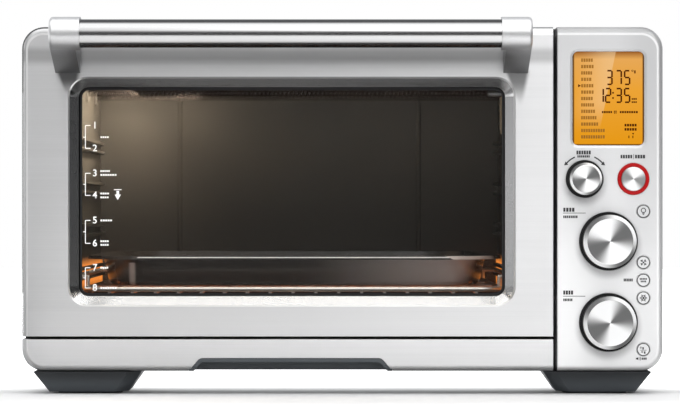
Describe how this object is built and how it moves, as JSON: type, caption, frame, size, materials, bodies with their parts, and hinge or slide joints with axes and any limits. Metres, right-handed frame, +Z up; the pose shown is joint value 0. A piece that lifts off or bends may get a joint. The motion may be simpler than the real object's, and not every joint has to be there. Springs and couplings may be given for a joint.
{
  "type": "countertop air fryer oven",
  "caption": "Countertop convection oven with a drop-down glass door and bar handle, wire rack, roasting pan, crumb tray drawer, dials, keys and a display.",
  "frame": {"origin": "bottom centre of the closed oven's bounding box, on the worktop under the feet", "axes": "+Z up, -Y out of the door's face towards the user, +X to the right as the user sees it"},
  "size_m": [0.546, 0.44, 0.3185],
  "materials": {
    "housing_steel": "satin",
    "door_steel": "brushed along the width",
    "panel_silver": "satin",
    "galvanised": "dull",
    "bright_steel": "bright",
    "handle_polish": "polished",
    "bracket_metal": "satin",
    "spun_metal": "spun",
    "liner": "non-stick coat",
    "enamel": "dark enamel",
    "tray_metal": "matt",
    "slate_plastic": "fine grain",
    "black_plastic": "satin",
    "red_plastic": "gloss",
    "key_plastic": "satin",
    "amber_lens": "gloss",
    "door_glass": "clear",
    "lamp_glass": "ribbed",
    "quartz": "clear",
    "ceramic": "matt ceramic",
    "rubber": "matt",
    "board": "lacquered",
    "motor_iron": "dull"
  },
  "bodies": {
    "housing": {"outer_shell": "housing_steel", "base_pan": "galvanised", "rear_panel": "galvanised", "cord_gland": "slate_plastic", "front_frame": "housing_steel", "cavity_left_wall": "liner", "cavity_right_wall": "liner", "cavity_back_wall": "liner", "cavity_roof": "liner", "rack_rails": "liner", "tray_runners": "galvanised", "quartz_tubes": "quartz", "ceramic_ends": "ceramic", "fan_grille": "liner", "fan_housing": "galvanised", "fan_motor": "motor_iron", "lamp_lens": "lamp_glass", "lamp_bulb": "lamp_glass", "lamp_holder": "ceramic", "temperature_probe": "galvanised", "control_panel": "panel_silver", "display_lens": "amber_lens", "display_module": "black_plastic", "control_board": "board", "encoders": "black_plastic", "dial_wells": "black_plastic", "start_ring": "red_plastic", "power_board": "board", "front_feet": "slate_plastic", "rear_feet": "slate_plastic", "foot_pads": "rubber", "hinge_brackets": "galvanised", "hinge_pins": "bright_steel", "case_screws": "bright_steel"},
    "door": {"door_panel": "door_steel", "door_inner_panel": "galvanised", "glass_strips": "galvanised", "door_glass": "door_glass", "glass_gasket": "rubber", "handle_tube": "handle_polish", "left_handle_bracket": "bracket_metal", "right_handle_bracket": "bracket_metal", "handle_screws": "bright_steel", "hinge_leaves": "galvanised"},
    "rack": {"wire_rack": "bright_steel"},
    "pan": {"roasting_pan": "enamel"},
    "drawer": {"crumb_tray": "tray_metal", "drawer_front": "door_steel", "drawer_grip": "slate_plastic"},
    "select_push": {"select_spindle": "bright_steel"},
    "select_dial_body": {"select_dial": "spun_metal"},
    "temperature_dial_body": {"temperature_dial": "spun_metal"},
    "time_dial_body": {"time_dial": "spun_metal"},
    "start_body": {"start_button": "spun_metal"},
    "light_key_body": {"light_key": "key_plastic"},
    "fan_key_body": {"fan_key": "key_plastic"},
    "phase_key_body": {"phase_key": "key_plastic"},
    "frozen_key_body": {"frozen_key": "key_plastic"},
    "unit_key_body": {"unit_key": "key_plastic"},
    "fan": {"fan_wheel": "tray_metal"}
  },
  "joints": [
    {"name": "door_hinge", "type": "hinge", "parent": "housing", "child": "door", "pos_m": [-0.043, -0.168, 0.0545], "axis": [1, 0, 0], "range_deg": [0, 90]},
    {"name": "rack_slide", "type": "slide", "parent": "housing", "child": "rack", "axis": [0, -1, 0], "range_m": [0, 0.08]},
    {"name": "pan_lift", "type": "slide", "parent": "rack", "child": "pan", "axis": [0, 0, 1], "range_m": [0, 0.06]},
    {"name": "drawer_slide", "type": "slide", "parent": "housing", "child": "drawer", "axis": [0, -1, 0], "range_m": [0, 0.195]},
    {"name": "select_press", "type": "slide", "parent": "housing", "child": "select_push", "axis": [0, 1, 0], "range_m": [0, 0.0012], "stiffness_N_per_m": 300},
    {"name": "select_turn", "type": "hinge", "parent": "select_push", "child": "select_dial_body", "pos_m": [0.206, -0.173, 0.1835], "axis": [0, 1, 0], "continuous": true},
    {"name": "temperature_turn", "type": "hinge", "parent": "housing", "child": "temperature_dial_body", "pos_m": [0.2263, -0.173, 0.1305], "axis": [0, 1, 0], "continuous": true},
    {"name": "time_turn", "type": "hinge", "parent": "housing", "child": "time_dial_body", "pos_m": [0.2263, -0.173, 0.0615], "axis": [0, 1, 0], "continuous": true},
    {"name": "start_press", "type": "slide", "parent": "housing", "child": "start_body", "axis": [0, 1, 0], "range_m": [0, 0.0012], "stiffness_N_per_m": 300},
    {"name": "light_press", "type": "slide", "parent": "housing", "child": "light_key_body", "axis": [0, 1, 0], "range_m": [0, 0.0008], "stiffness_N_per_m": 300},
    {"name": "fan_press", "type": "slide", "parent": "housing", "child": "fan_key_body", "axis": [0, 1, 0], "range_m": [0, 0.0008], "stiffness_N_per_m": 300},
    {"name": "phase_press", "type": "slide", "parent": "housing", "child": "phase_key_body", "axis": [0, 1, 0], "range_m": [0, 0.0008], "stiffness_N_per_m": 300},
    {"name": "frozen_press", "type": "slide", "parent": "housing", "child": "frozen_key_body", "axis": [0, 1, 0], "range_m": [0, 0.0008], "stiffness_N_per_m": 300},
    {"name": "unit_press", "type": "slide", "parent": "housing", "child": "unit_key_body", "axis": [0, 1, 0], "range_m": [0, 0.0008], "stiffness_N_per_m": 300},
    {"name": "fan_spin", "type": "hinge", "parent": "housing", "child": "fan", "pos_m": [0.1592, -0.0062, 0.17], "axis": [1, 0, 0], "continuous": true}
  ],
  "couplings": [
    {"joint": "rack_slide", "follows": "door_hinge", "m_per_rad": 0.0509}
  ]
}
